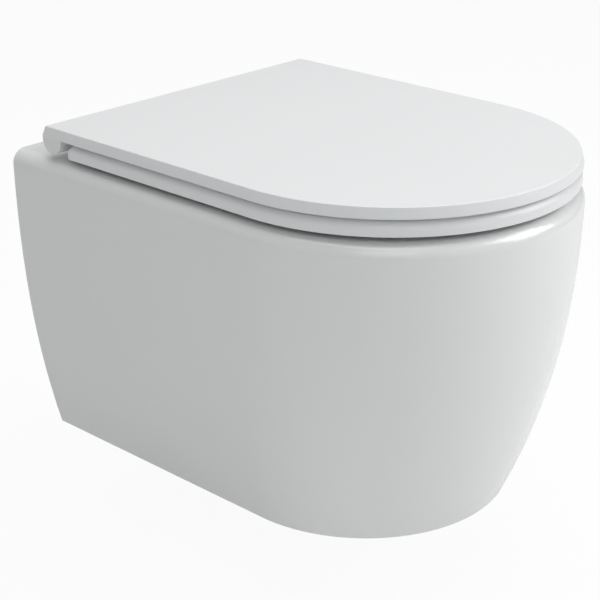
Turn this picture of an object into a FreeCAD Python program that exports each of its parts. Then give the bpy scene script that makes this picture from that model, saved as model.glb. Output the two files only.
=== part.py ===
"""Wall hung toilet: skirted ceramic pan, slim seat and lid on a common hinge axis, concealed fixings.

Frame: +Z up, +X to the right seen from the back, the wall is the plane Y = 0 and the front of the
pan points along -Y. The origin is midway between the two wall fixing holes.
"""
import FreeCAD
import Part
import math
import os
import Sketcher

V = FreeCAD.Vector
ALONG_Y = FreeCAD.Rotation(V(1, 0, 0), 90)
ALONG_X = FreeCAD.Rotation(V(0, 1, 0), 90)
UPRIGHT = FreeCAD.Rotation()

# Driving sizes in millimetres. Levels are measured from the fixing holes' line, distances from the wall.
SIZES = {
    # ceramic pan
    "pan_width": 368.0,
    "pan_depth": 500.0,
    "pan_height": 309.5,
    "rim_level": 80.0,
    "base_width": 289.0,
    "base_depth": 438.0,
    "taper_power": 2.28,
    "skirt_wall": 10.0,
    "deck_thickness": 14.0,
    "floor_thickness": 9.0,
    "back_plate": 14.0,
    "rim_edge_radius": 14.0,
    "base_edge_radius": 3.0,
    # bowl, from the rim down to the floor of its sump
    "bowl_side_margin": 56.0,
    "bowl_rear": 158.0,
    "bowl_front_margin": 48.0,
    "sump_half_width": 31.0,
    "sump_rear": 214.0,
    "sump_front": 286.0,
    "bowl_power": 1.7,
    "bowl_corner_share": 0.6,
    "bowl_wall": 9.0,
    "lip_radius": 7.0,
    # trapway and connections
    "trap_bore": 28.0,
    "trap_wall": 8.0,
    "trap_start": 262.0,
    "trap_knee": 215.0,
    "trap_bend": 45.0,
    "trap_slope": 60.0,
    "trap_crest": -88.0,
    "trap_end": 80.0,
    "pipe_setback": 4.0,
    "outlet_drop": 100.0,
    "outlet_radius": 51.0,
    "outlet_bore": 42.0,
    "outlet_end": 104.0,
    "inlet_rise": 35.0,
    "channel_radius": 27.0,
    "channel_wall": 8.0,
    "cuff_radius": 35.0,
    "cuff_length": 36.0,
    "flush_pipe_radius": 27.5,
    "spreader_wall": 5.0,
    "ring_thickness": 2.5,
    "ring_groove": 2.6,
    "ring_depth": 1.0,
    "back_opening_half": 66.0,
    "back_opening_low": -165.0,
    # concealed wall fixing
    "fixing_spacing": 180.0,
    "fixing_hole": 12.0,
    "boss_radius": 22.0,
    "boss_length": 50.0,
    "stud_hole": 6.1,
    "sleeve_length": 46.0,
    "clamp_distance": 35.0,
    "clamp_radius": 4.0,
    "clamp_tip_radius": 1.0,
    "clamp_tip_height": 3.0,
    "clamp_tip_gap": 0.2,
    "clamp_length": 26.0,
    "insert_radius": 7.0,
    "insert_flange": 2.0,
    "access_radius": 10.0,
    "cap_wall": 2.0,
    # hinge
    "hinge_spacing": 155.0,
    "pivot_distance": 56.4,
    "pivot_level": 100.0,
    "hinge_hole_distance": 84.5,
    "hinge_hole": 8.0,
    "hub_radius": 8.0,
    "knuckle_width": 17.0,
    "arm_rise": 2.4,
    "post_length": 13.5,
    "post_top": 98.8,
    "disc_radius": 12.5,
    "disc_thickness": 3.5,
    "gasket_thickness": 1.0,
    "pin_radius": 3.0,
    "pin_length": 53.5,
    "bush_radius": 5.0,
    "bush_length": 10.0,
    "bolt_radius": 3.0,
    "bolt_head_radius": 5.0,
    "bolt_head_height": 5.0,
    "bolt_length": 42.0,
    "bolt_recess": 2.0,
    "plug_foot": 6.0,
    "plug_flange": 3.0,
    "washer_thickness": 1.5,
    "nut_height": 5.0,
    "nut_radius": 5.7,
    "damper_radius": 7.5,
    "damper_length": 38.0,
    # seat
    "seat_inset": 0.3,
    "seat_low": 86.2,
    "seat_top": 99.6,
    "seat_rear": 75.4,
    "seat_edge_radius": 9.0,
    "seat_corner_radius": 6.0,
    "seat_side_land": 69.7,
    "seat_opening_rear": 172.0,
    "seat_front_land": 57.0,
    "seat_opening_corner": 62.0,
    "seat_lip": 9.0,
    "seat_hollow": 7.0,
    "lug_width": 15.8,
    "buffer_radius": 6.0,
    "seat_buffer_distance": 215.0,
    "lid_buffer_distance": 185.0,
    # lid
    "lid_width": 359.4,
    "lid_front": 497.1,
    "lid_top": 112.0,
    "lid_thickness": 10.4,
    "lid_skin": 5.8,
    "lid_lip": 9.0,
    "lid_edge_radius": 1.0,
    "lid_bevel_width": 2.2,
    "lid_bevel_height": 8.6,
    "barrel_radius": 13.0,
    "barrel_distance": 56.4,
    "barrel_level": 100.0,
    "notch_skin": 3.4,
    # clearances
    "running_gap": 0.03,
    "loose_gap": 0.4,
    "part_gap": 0.6,
    "knuckle_gap": 1.0,
    "through": 5.0,
}


# places along the hinge that follow from the sizes: each notch holds one knuckle and one lug
PLACES = {
    "notch_inner": "( hinge_spacing / 2 - knuckle_width / 2 - lug_width - 2 * part_gap )",
    "notch_outer": "( hinge_spacing / 2 + knuckle_width / 2 + knuckle_gap )",
}


def open_document(sizes):
    """Return a new document and its sheet of sizes, one named cell for each."""
    document = FreeCAD.newDocument("toilet")
    sheet = document.addObject("Spreadsheet::Sheet", "dims")
    for row, (word, size) in enumerate(sizes.items(), start=1):
        sheet.set(f"A{row}", word)
        sheet.set(f"B{row}", str(size))
        sheet.setAlias(f"B{row}", word)
    document.recompute()
    return document, sheet


doc, dims = open_document(SIZES)


def value(expression):
    """Evaluate an expression of the sheet's words as a plain number."""
    result = dims.evalExpression(str(expression))
    return float(getattr(result, "Value", result))


def d(words):
    """Write an expression of size words with the sheet's name before each word."""
    pieces = []
    for piece in words.replace("(", " ( ").replace(")", " ) ").split():
        if piece in PLACES:
            pieces.append(d(PLACES[piece]))
        else:
            pieces.append(f"dims.{piece}" if piece in SIZES else piece)
    return " ".join(pieces)


# ---------------------------------------------------------------- sketches
def new_body(name):
    """Start a body whose label is the name of its sub-part."""
    body = doc.addObject("PartDesign::Body", name)
    body.Label = name
    return body


def sketch_on(body, name, role, level="0"):
    """Add a sketch on one of the body's own planes, moved along the plane's normal by `level`."""
    sketch = body.newObject("Sketcher::SketchObject", name)
    plane = next(item for item in body.Origin.OriginFeatures if item.Role == role)
    sketch.AttachmentSupport = [(plane, "")]
    sketch.MapMode = "FlatFace"
    sketch.setExpression("AttachmentOffset.Base.z", d(level))
    return sketch


def line(start, end):
    """Return a straight sketch edge."""
    return Part.LineSegment(V(*start, 0), V(*end, 0))


def arc(centre, radius, start, end):
    """Return a circular sketch edge between two angles in degrees, anticlockwise."""
    circle = Part.Circle(V(*centre, 0), V(0, 0, 1), radius)
    return Part.ArcOfCircle(circle, math.radians(start), math.radians(end))


def fix(sketch, kind, *places, size=None):
    """Add one constraint, tied to an expression where it has a size."""
    if size is None:
        sketch.addConstraint(Sketcher.Constraint(kind, *places))
        return
    number = sketch.addConstraint(Sketcher.Constraint(kind, *places, value(d(size))))
    sketch.setExpression(f"Constraints[{number}]", d(size))


def chain(sketch, joints):
    """Join sketch edges end to end: 't' makes a joint tangent, 'c' leaves it a corner."""
    for kind, first, first_end, second, second_end in joints:
        word = "Tangent" if kind == "t" else "Coincident"
        fix(sketch, word, first, first_end, second, second_end)


def u_outline(sketch, half, rear, centre):
    """Draw straight sides that end in a half round of radius `half` about `centre`."""
    w, y1, y2 = value(d(half)), -value(d(rear)), -value(d(centre))
    base = sketch.GeometryCount
    for edge in (
        line((-w, y1), (w, y1)),
        line((w, y1), (w, y2)),
        arc((0, y2), w, 180, 360),
        line((-w, y2), (-w, y1)),
    ):
        sketch.addGeometry(edge, False)
    back, right, round_end, left = range(base, base + 4)
    chain(sketch, (("c", back, 2, right, 1), ("t", right, 2, round_end, 2)))
    chain(sketch, (("t", round_end, 1, left, 1), ("c", left, 2, back, 1)))
    fix(sketch, "Horizontal", back)
    fix(sketch, "Vertical", right)
    fix(sketch, "Vertical", left)
    fix(sketch, "PointOnObject", round_end, 3, -2)
    fix(sketch, "Radius", round_end, size=half)
    fix(sketch, "DistanceY", round_end, 3, -1, 1, size=centre)
    if value(d(rear)) < 0:
        fix(sketch, "DistanceY", -1, 1, right, 1, size=f"0 - ( {rear} )")
    else:
        fix(sketch, "DistanceY", right, 1, -1, 1, size=rear)


def egg_outline(sketch, half, rear, front, corner):
    """Draw a round-fronted outline with rounded rear corners."""
    w, r = value(d(half)), value(d(corner))
    y1, y2 = -value(d(rear)), -value(d(f"( {front} ) - ( {half} )"))
    base = sketch.GeometryCount
    for edge in (
        line((r - w, y1), (w - r, y1)),
        arc((w - r, y1 - r), r, 0, 90),
        line((w, y1 - r), (w, y2)),
        arc((0, y2), w, 180, 360),
        line((-w, y2), (-w, y1 - r)),
        arc((r - w, y1 - r), r, 90, 180),
    ):
        sketch.addGeometry(edge, False)
    back, turn_a, right, nose, left, turn_b = range(base, base + 6)
    chain(sketch, (("t", back, 2, turn_a, 2), ("t", turn_a, 1, right, 1), ("t", right, 2, nose, 2)))
    chain(sketch, (("t", nose, 1, left, 1), ("t", left, 2, turn_b, 2), ("t", turn_b, 1, back, 1)))
    fix(sketch, "Horizontal", back)
    fix(sketch, "Vertical", right)
    fix(sketch, "Vertical", left)
    fix(sketch, "PointOnObject", nose, 3, -2)
    fix(sketch, "Radius", nose, size=half)
    fix(sketch, "DistanceY", nose, 3, -1, 1, size=f"( {front} ) - ( {half} )")
    fix(sketch, "DistanceY", back, 1, -1, 1, size=rear)
    fix(sketch, "Radius", turn_a, size=corner)
    fix(sketch, "Equal", turn_a, turn_b)


def round_outline(sketch, x, y, radius):
    """Draw a circle at a point given by two expressions in the sketch's plane."""
    px, py = value(d(x)), value(d(y))
    number = sketch.addGeometry(Part.Circle(V(px, py, 0), V(0, 0, 1), value(d(radius))), False)
    fix(sketch, "Radius", number, size=radius)
    for kind, place, axis in (("DistanceX", x, -2), ("DistanceY", y, -1)):
        if value(d(place)):
            fix(sketch, kind, -1, 1, number, 3, size=place)
        else:
            fix(sketch, "PointOnObject", number, 3, axis)


# ---------------------------------------------------------------- body features
def loft(body, name, sketches, kind="Additive"):
    """Loft through closed sketches, smooth between them."""
    feature = body.newObject(f"PartDesign::{kind}Loft", name)
    feature.Profile = sketches[0]
    feature.Sections = sketches[1:]
    feature.Refine = False
    return feature


def pipe(body, name, profile, spine, kind="Additive"):
    """Sweep a sketch along a path sketch."""
    feature = body.newObject(f"PartDesign::{kind}Pipe", name)
    feature.Profile = profile
    feature.Spine = (spine, [])
    feature.Refine = False
    return feature


def pad(body, name, sketch, length, midplane=False):
    """Pad a sketch along its normal."""
    feature = body.newObject("PartDesign::Pad", name)
    feature.Profile = sketch
    feature.setExpression("Length", d(length))
    if midplane:
        feature.SideType = "Symmetric"
    feature.Refine = False
    return feature


def pocket(body, name, sketch, length):
    """Cut a sketch into the body along the sketch's normal, and check that it took material away."""
    doc.recompute()
    before = body.Shape.Volume
    feature = body.newObject("PartDesign::Pocket", name)
    feature.Profile = sketch
    feature.setExpression("Length", d(length))
    feature.Reversed = True
    feature.Refine = False
    doc.recompute()
    if body.Shape.Volume > before - 1.0:
        raise ValueError(f"{name} cuts nothing")
    return feature


def round_feature(body, name, kind, turned, place, sizes, x="0", y="0", z="0"):
    """Add or cut a primitive: kind is such as AdditiveCylinder; x, y, z place its own origin."""
    feature = body.newObject(f"PartDesign::{kind}", name)
    feature.Placement = FreeCAD.Placement(V(0, 0, 0), turned)
    for word, size in sizes.items():
        feature.setExpression(word, d(size))
    for axis, expression in zip("xyz", place or (x, y, z)):
        feature.setExpression(f"Placement.Base.{axis}", d(expression))
    feature.Refine = False
    return feature


def cylinder(body, name, turned, place, radius, height, cut=False):
    """Add or cut a cylinder in a body."""
    kind = "SubtractiveCylinder" if cut else "AdditiveCylinder"
    return round_feature(body, name, kind, turned, place, {"Radius": radius, "Height": height})


def block(body, name, place, spans, cut=False):
    """Add or cut a box in a body; spans are its sizes along X, Y and Z."""
    kind = "SubtractiveBox" if cut else "AdditiveBox"
    sizes = dict(zip(("Length", "Width", "Height"), spans))
    return round_feature(body, name, kind, UPRIGHT, place, sizes)


def edges_where(feature, test):
    """Name the edges of a feature whose bounding box passes a test."""
    doc.recompute()
    edges = enumerate(feature.Shape.Edges, start=1)
    return [f"Edge{number}" for number, edge in edges if test(edge.BoundBox)]


def level_edges(feature, level, inside=None, outside=None):
    """Name the edges that lie at one level, inside or outside a distance from the symmetry plane."""
    at = value(d(level))

    def test(box):
        if max(abs(box.ZMin - at), abs(box.ZMax - at)) > 0.01 or box.YMin > -0.01:
            return False
        reach = max(abs(box.XMin), abs(box.XMax))
        if inside is not None and reach > value(d(inside)):
            return False
        return outside is None or reach >= value(d(outside)) or box.XMin < -value(d(outside))

    return edges_where(feature, test)


def dress(body, name, kind, feature, edges, size, second=None):
    """Fillet or chamfer named edges of a feature; a chamfer may have a second size."""
    finish = body.newObject(f"PartDesign::{kind}", name)
    finish.Base = (feature, edges)
    finish.setExpression("Radius" if kind == "Fillet" else "Size", d(size))
    if second is not None:
        finish.ChamferType = "Two distances"
        finish.setExpression("Size2", d(second))
    return finish


# ---------------------------------------------------------------- ceramic pan
BOWL_HALF = "( pan_width / 2 - bowl_side_margin )"
BOWL_FRONT = "( pan_depth - bowl_front_margin )"


def skirt_words(share, inset, level_share=None):
    """Return half-width and round centre of the pan at a share of its height, as expressions."""
    fall = f"( {share} ) ^ taper_power"
    half = f"pan_width / 2 - ( pan_width - base_width ) / 2 * {fall}"
    reach = f"pan_depth - ( pan_depth - base_depth ) * {fall}"
    centre = f"( {reach} ) - ( {half} )"
    return (f"( {half} ) - {inset}" if inset else half), centre


def skirt_sections(body, name, shares, low, high, inset, rear):
    """Draw the pan's outline at a few levels between `high` and `low`, inset by a wall."""
    sketches = []
    for number, share in enumerate(shares):
        level = f"( {high} ) - ( ( {high} ) - ( {low} ) ) * {share}"
        fall = f"( rim_level - ( {level} ) ) / pan_height"
        half, centre = skirt_words(fall, inset)
        sketch = sketch_on(body, f"{name}{number}", "XY_Plane", level)
        u_outline(sketch, half, rear, centre)
        sketches.append(sketch)
    return sketches


def bowl_sections(body, name, shares, wall, low):
    """Draw the bowl's outline from above the rim to the sump's floor, grown by a wall."""
    sketches = []
    for number, share in enumerate(shares):
        fall = f"{share} ^ bowl_power"
        half = f"{BOWL_HALF} - ( {BOWL_HALF} - sump_half_width ) * {fall} + {wall}"
        rear = f"bowl_rear + ( sump_rear - bowl_rear ) * {fall} - {wall}"
        front = f"{BOWL_FRONT} - ( {BOWL_FRONT} - sump_front ) * {fall} + {wall}"
        level = f"rim_level - ( rim_level - ( {low} ) ) * {share}"
        if share == 0 and wall == "0":
            level = "rim_level + through"
        sketch = sketch_on(body, f"{name}{number}", "XY_Plane", level)
        egg_outline(sketch, half, rear, front, f"( {half} ) * bowl_corner_share")
        sketches.append(sketch)
    return sketches


def trap_path(body, name):
    """Draw the trapway's centre line from the sump over the crest to the outlet."""
    sketch = sketch_on(body, name, "YZ_Plane")
    floor = "rim_level - pan_height + floor_thickness + trap_bore"
    bend, slope = value(d("trap_bend")), value(d("trap_slope"))
    y0, z0 = -value(d("trap_start")), value(d(floor))
    y1, z3 = -value(d("trap_knee")), value(d("trap_crest"))
    turn = FreeCAD.Rotation(V(0, 0, 1), slope).multVec(V(0, -bend, 0))
    rise_start = V(y1, z0 + bend, 0) + turn
    run = FreeCAD.Rotation(V(0, 0, 1), slope).multVec(V(1, 0, 0))
    rise = (z3 - bend - turn.y) - rise_start.y
    rise_end = rise_start + run * (rise / run.y)
    crest = (rise_end.x + turn.x, z3 - bend)
    parts = (
        line((y0, z0), (y1, z0)),
        arc((y1, z0 + bend), bend, 270, 270 + slope),
        line((rise_start.x, rise_start.y), (rise_end.x, rise_end.y)),
        arc(crest, bend, 90, 90 + slope),
        line((crest[0], z3), (-value(d("trap_end")), z3)),
    )
    for edge in parts:
        sketch.addGeometry(edge, False)
    chain(sketch, (("t", 0, 2, 1, 1), ("t", 1, 2, 2, 1), ("t", 2, 2, 3, 2), ("t", 3, 1, 4, 1)))
    fix(sketch, "Horizontal", 0)
    fix(sketch, "Horizontal", 4)
    fix(sketch, "Radius", 1, size="trap_bend")
    fix(sketch, "Radius", 3, size="trap_bend")
    fix(sketch, "DistanceX", 0, 1, -1, 1, size="trap_start")
    fix(sketch, "DistanceX", 0, 2, -1, 1, size="trap_knee")
    fix(sketch, "DistanceY", 0, 1, -1, 1, size=f"0 - ( {floor} )")
    fix(sketch, "DistanceY", 4, 2, -1, 1, size="0 - trap_crest")
    fix(sketch, "DistanceX", 4, 2, -1, 1, size="trap_end")
    slope_end = sketch.addGeometry(line((y1, 0), (y1 + 10 * run.x, 10 * run.y)), True)
    fix(sketch, "Parallel", slope_end, 2)
    fix(sketch, "PointOnObject", slope_end, 1, -1)
    fix(sketch, "DistanceX", slope_end, 1, -1, 1, size="trap_knee")
    fix(sketch, "Distance", slope_end, size="trap_bend")
    slope_now = math.radians(value(d("trap_slope")))
    angle = sketch.addConstraint(Sketcher.Constraint("Angle", slope_end, slope_now))
    sketch.setExpression(f"Constraints[{angle}]", "dims.trap_slope * 1 deg")
    return sketch


def trap_profile(body, name, radius):
    """Draw the trapway's round section at the start of its path."""
    sketch = sketch_on(body, name, "XZ_Plane", "trap_start")
    round_outline(sketch, "0", "rim_level - pan_height + floor_thickness + trap_bore", radius)
    return sketch


def build_pan():
    """Build the hollow skirted pan with its bowl, trapway, connections and fixing bosses."""
    body = new_body("ceramic_pan")
    levels = (0, 0.25, 0.5, 0.75, 1)
    base = "rim_level - pan_height"
    outer = skirt_sections(body, "skirt_at", levels, base, "rim_level", "0", "0 - through")
    skin = loft(body, "skirt", outer)
    rim = level_edges(skin, "rim_level")
    top = dress(body, "rim_round", "Fillet", skin, rim, "rim_edge_radius")
    foot = level_edges(top, base)
    dress(body, "foot_round", "Fillet", top, foot, "base_edge_radius")
    block(body, "wall_plane", ("0 - pan_width", "0", f"{base} - through"),
          ("2 * pan_width", "2 * through", "pan_height + 2 * through"), cut=True)
    inner = skirt_sections(
        body, "hollow_at", levels, f"{base} + floor_thickness",
        "rim_level - deck_thickness", "skirt_wall", "back_plate",
    )
    loft(body, "hollow", inner, "Subtractive")
    block(
        body, "back_opening",
        ("0 - back_opening_half", "0 - back_plate - through", "back_opening_low"),
        ("2 * back_opening_half", "back_plate + 2 * through",
         "rim_level - deck_thickness - back_opening_low"),
        cut=True,
    )
    loft(body, "bowl_shell", bowl_sections(body, "shell_at", levels, "bowl_wall", f"{base} + floor_thickness / 2"))
    path = trap_path(body, "trap_path")
    pipe(body, "trap_shell", trap_profile(body, "trap_outside", "trap_bore + trap_wall"), path)
    drop, rise = "0 - outlet_drop", "inlet_rise"
    back = "0 - pipe_setback"
    cylinder(body, "outlet_shell", ALONG_Y, ("0", back, drop), "outlet_radius", "outlet_end - pipe_setback")
    cylinder(body, "channel_shell", ALONG_Y, ("0", back, rise), "channel_radius + channel_wall",
             "bowl_rear - pipe_setback + bowl_wall")
    cylinder(body, "cuff_shell", ALONG_Y, ("0", back, rise), "cuff_radius + channel_wall",
             "cuff_length + channel_wall")
    for side, sign in (("left", "-1"), ("right", "1")):
        x = f"{sign} * fixing_spacing / 2"
        cylinder(body, f"boss_{side}", ALONG_Y, (x, "0 - back_plate / 2", "0"), "boss_radius",
                 "boss_length - back_plate / 2")
    bowl = loft(body, "bowl", bowl_sections(body, "bowl_at", levels, "0", f"{base} + floor_thickness"),
                "Subtractive")
    lip = level_edges(bowl, "rim_level", inside=f"{BOWL_HALF} + 1")
    dress(body, "bowl_lip", "Fillet", bowl, lip, "lip_radius")
    pipe(body, "trap", trap_profile(body, "trap_inside", "trap_bore"), path, "Subtractive")
    cylinder(body, "outlet", ALONG_Y, ("0", "0", drop), "outlet_bore", "outlet_end - trap_wall", cut=True)
    cylinder(body, "channel", ALONG_Y, ("0", "0", rise), "channel_radius",
             "bowl_rear + bowl_wall + through", cut=True)
    cylinder(body, "cuff_seat", ALONG_Y, ("0", "0", rise), "cuff_radius",
             "cuff_length + pipe_setback", cut=True)
    for side, sign in (("left", "-1"), ("right", "1")):
        x = f"{sign} * fixing_spacing / 2"
        cylinder(body, f"fixing_hole_{side}", ALONG_Y, (x, "through", "0"), "fixing_hole",
                 "boss_length + 2 * through", cut=True)
        cylinder(body, f"insert_hole_{side}", UPRIGHT, (x, "0 - clamp_distance", "0 - boss_radius - through"),
                 "insert_radius", "boss_radius + through", cut=True)
        cylinder(body, f"access_{side}", UPRIGHT, (x, "0 - clamp_distance", f"{base} - through"),
                 "access_radius", "floor_thickness + 2 * through", cut=True)
        hole_x = f"{sign} * hinge_spacing / 2"
        cylinder(body, f"hinge_hole_{side}", UPRIGHT,
                 (hole_x, "0 - hinge_hole_distance", "rim_level - deck_thickness - through"),
                 "hinge_hole", "deck_thickness + 2 * through", cut=True)
    return body


# ---------------------------------------------------------------- lid
LID_CENTRE = "( lid_front - lid_width / 2 )"
LID_REAR = "( barrel_distance - barrel_radius )"
LID_UNDER = "( lid_top - lid_thickness )"


def lid_outline(body, name, inset, rear):
    """Draw the lid's outline at its underside, inset from its edge, with its straight side at `rear`."""
    sketch = sketch_on(body, name, "XY_Plane", LID_UNDER)
    u_outline(sketch, f"lid_width / 2 - {inset}", rear, LID_CENTRE)
    return sketch


def barrel_outline(body, name):
    """Draw the section of the barrel that hangs from the lid's rear edge."""
    sketch = sketch_on(body, name, "YZ_Plane")
    y, z, r = -value(d("barrel_distance")), value(d("barrel_level")), value(d("barrel_radius"))
    top = value(d("lid_top"))
    parts = (
        line((y - r, top), (y + r, top)),
        line((y + r, top), (y + r, z)),
        arc((y, z), r, 180, 360),
        line((y - r, z), (y - r, top)),
    )
    for edge in parts:
        sketch.addGeometry(edge, False)
    chain(sketch, (("c", 0, 2, 1, 1), ("c", 1, 2, 2, 2), ("c", 2, 1, 3, 1), ("c", 3, 2, 0, 1)))
    fix(sketch, "Horizontal", 0)
    fix(sketch, "Vertical", 1)
    fix(sketch, "Vertical", 3)
    fix(sketch, "Radius", 2, size="barrel_radius")
    fix(sketch, "DistanceX", 2, 3, -1, 1, size="barrel_distance")
    fix(sketch, "DistanceY", -1, 1, 2, 3, size="barrel_level")
    fix(sketch, "DistanceY", -1, 1, 0, 2, size="lid_top")
    fix(sketch, "Horizontal", 2, 2, 2, 3)
    fix(sketch, "Horizontal", 2, 1, 2, 3)
    return sketch


def build_lid():
    """Build the bevelled, hollowed lid with its rear barrel, hinge notches and bores."""
    body = new_body("lid")
    pad(body, "lid_plate", lid_outline(body, "lid_edge", "0", LID_REAR), "lid_thickness")
    barrel = pad(body, "barrel", barrel_outline(body, "barrel_section"), "lid_width", midplane=True)
    barrel.Refine = True
    bevel = dress(body, "edge_bevel", "Chamfer", barrel, level_edges(barrel, "lid_top"),
                  "lid_bevel_height", "lid_bevel_width")
    doc.recompute()
    flat_top = max(bevel.Shape.Faces, key=lambda face: face.CenterOfMass.z).BoundBox.XLength
    if abs(flat_top - value(d("lid_width - 2 * lid_bevel_width"))) > 0.01:
        raise ValueError("the bevel is turned the wrong way")
    top = dress(body, "top_round", "Fillet", bevel, level_edges(bevel, "lid_top"), "lid_edge_radius")
    front_of_barrel = value(d("0 - barrel_distance - barrel_radius"))
    low_line = value(d(LID_UNDER))

    def at_low(box):
        level = abs(box.ZMin - low_line) < 0.01 and abs(box.ZMax - low_line) < 0.01
        return level and box.YMin < front_of_barrel - 1

    dress(body, "low_round", "Chamfer", top, edges_where(top, at_low), "lid_edge_radius / 2")
    pocket(body, "lid_hollow", lid_outline(body, "lid_hollow_edge", "lid_lip", "seat_rear"),
           "lid_thickness - lid_skin")
    notch_front = "pivot_distance + barrel_radius + 2 * part_gap"
    notch_rear = "barrel_distance - barrel_radius - through"
    notch_low = "barrel_level - barrel_radius - through"
    axis = ("0 - pivot_distance", "pivot_level")
    for side, start in (("left", "0 - notch_outer"), ("right", "notch_inner")):
        block(body, f"notch_{side}", (start, f"0 - ( {notch_front} )", notch_low),
              ("notch_outer - notch_inner", f"{notch_front} - ( {notch_rear} )",
               f"lid_top - notch_skin - ( {notch_low} )"), cut=True)
    bores = {
        "bush_seat_inner": ("notch_inner - bush_length - running_gap", "bush_radius + running_gap",
                            "bush_length + running_gap + through"),
        "damper_seat_outer": ("notch_outer - through", "damper_radius + running_gap",
                              "damper_length + through + running_gap + part_gap"),
        "bush_seat_outer": ("0 - notch_outer - bush_length - running_gap - part_gap",
                            "bush_radius + running_gap",
                            "bush_length + running_gap + part_gap + through"),
        "damper_room_inner": ("0 - notch_inner - through", "damper_radius + loose_gap",
                              "damper_length + through + loose_gap"),
    }
    for name, (start, radius, length) in bores.items():
        cylinder(body, name, ALONG_X, (start, *axis), radius, length, cut=True)
    return body


# ---------------------------------------------------------------- seat
OPENING_HALF = "( lid_width / 2 - seat_side_land )"
OPENING_FRONT = "( lid_front - seat_front_land )"


def build_seat():
    """Build the seat ring with its hollow underside and the two hinge lugs."""
    body = new_body("seat_ring")
    sketch = sketch_on(body, "seat_edge", "XY_Plane", "seat_low")
    half = "lid_width / 2 - seat_inset"
    u_outline(sketch, half, "seat_rear", LID_CENTRE)
    ring = pad(body, "seat_plate", sketch, "seat_top - seat_low")
    opening = sketch_on(body, "opening_edge", "XY_Plane", "seat_low")
    egg_outline(opening, OPENING_HALF, "seat_opening_rear", OPENING_FRONT, "seat_opening_corner")
    cut = pocket(body, "opening", opening, "seat_top - seat_low")
    rear_line = value(d("0 - seat_rear"))

    def upright_corner(box):
        tall = box.XLength < 0.01 and box.YLength < 0.01
        return tall and abs(box.YMin - rear_line) < 0.01

    corners = dress(body, "corner_round", "Fillet", cut, edges_where(cut, upright_corner), "seat_corner_radius")
    edges = level_edges(corners, "seat_top", outside=f"{OPENING_HALF} + 1")
    edges += level_edges(corners, "seat_top", inside=f"{OPENING_HALF} + 1")
    top = dress(body, "top_round", "Fillet", corners, sorted(set(edges)), "seat_edge_radius")
    low = level_edges(top, "seat_low")
    dress(body, "low_chamfer", "Chamfer", top, low, "lid_edge_radius / 2")
    hollow = sketch_on(body, "seat_hollow_edge", "XY_Plane", "seat_low")
    u_outline(hollow, f"( {half} ) - seat_lip", "seat_rear + seat_lip", LID_CENTRE)
    egg_outline(hollow, f"{OPENING_HALF} + seat_lip", "seat_opening_rear - seat_lip",
                f"{OPENING_FRONT} + seat_lip", "seat_opening_corner + seat_lip")
    pocket(body, "seat_hollow", hollow, "seat_hollow")
    axis = ("0 - pivot_distance", "pivot_level")
    gap = "part_gap"
    inner = f"notch_inner + {gap}"
    lug_front = "pivot_distance + 2 * hub_radius + seat_lip + through"
    for side, sign in (("left", -1), ("right", 1)):
        x = inner if sign > 0 else f"0 - ( {inner} ) - lug_width"
        block(body, f"lug_{side}", (x, f"0 - ( {lug_front} )", "pivot_level - hub_radius"),
              ("lug_width", f"{lug_front} - pivot_distance", "hub_radius + seat_top - pivot_level"))
        cylinder(body, f"hub_{side}", ALONG_X, (x, *axis), "hub_radius", "lug_width")
        post_x = "hinge_spacing / 2 - knuckle_width / 2 - part_gap"
        x = post_x if sign > 0 else f"0 - ( {post_x} ) - knuckle_width - 2 * {gap}"
        block(body, f"post_notch_{side}",
              (x, "0 - hinge_hole_distance - post_length / 2 - 2 * part_gap", "rim_level"),
              (f"knuckle_width + 2 * {gap}", "post_length + 2 * hub_radius", "seat_top - rim_level + through"),
              cut=True)
        cylinder(body, f"bush_hole_{side}", ALONG_X,
                 (f"{sign} * ( notch_inner + lug_width / 2 ) - lug_width", *axis),
                 "bush_radius + running_gap", "2 * lug_width", cut=True)
    return body


# ---------------------------------------------------------------- loose pieces
def solid(kind, name, place, sizes, turned=UPRIGHT):
    """Make a primitive of the Part workbench, placed and sized by expressions."""
    thing = doc.addObject(f"Part::{kind}", name)
    thing.Placement = FreeCAD.Placement(V(0, 0, 0), turned)
    for word, size in sizes.items():
        thing.setExpression(word, d(size))
    for axis, expression in zip("xyz", place):
        thing.setExpression(f"Placement.Base.{axis}", d(expression))
    return thing


def rod(name, place, radius, height, turned=UPRIGHT):
    """Make a cylinder."""
    return solid("Cylinder", name, place, {"Radius": radius, "Height": height}, turned)


def cone(name, place, low, high, height, turned=UPRIGHT):
    """Make a cone."""
    return solid("Cone", name, place, {"Radius1": low, "Radius2": high, "Height": height}, turned)


def box(name, place, spans):
    """Make a box from its low corner and its sizes."""
    return solid("Box", name, place, dict(zip(("Length", "Width", "Height"), spans)))


def fuse(name, things):
    """Join overlapping or touching pieces of one sub-part."""
    joined = doc.addObject("Part::MultiFuse", name)
    joined.Shapes = things
    joined.Refine = True
    return joined


def cut(name, thing, tool):
    """Take one shape out of another."""
    result = doc.addObject("Part::Cut", name)
    result.Base = thing
    result.Tool = tool
    return result


def tube(name, place, outer, bore, height, turned=UPRIGHT):
    """Make a plain tube."""
    wall = rod(f"{name}_wall", place, outer, height, turned)
    hole = rod(f"{name}_bore", place, bore, height, turned)
    return cut(name, wall, hole)


def mirrored(thing):
    """Return the mirror image of a piece on the other side of the symmetry plane."""
    image = doc.addObject("Part::Mirroring", f"{thing.Name}_mirror")
    image.Source = thing
    image.Normal = V(1, 0, 0)
    return image


def group(name, things):
    """Gather like pieces in one sub-part."""
    if len(things) == 1:
        things[0].Label = name
        return things[0]
    gathered = doc.addObject("Part::Compound", name)
    gathered.Links = things
    gathered.Label = name
    return gathered


def pair(name, thing):
    """Gather a right-hand piece and its mirror image."""
    return group(name, [thing, mirrored(thing)])


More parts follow.
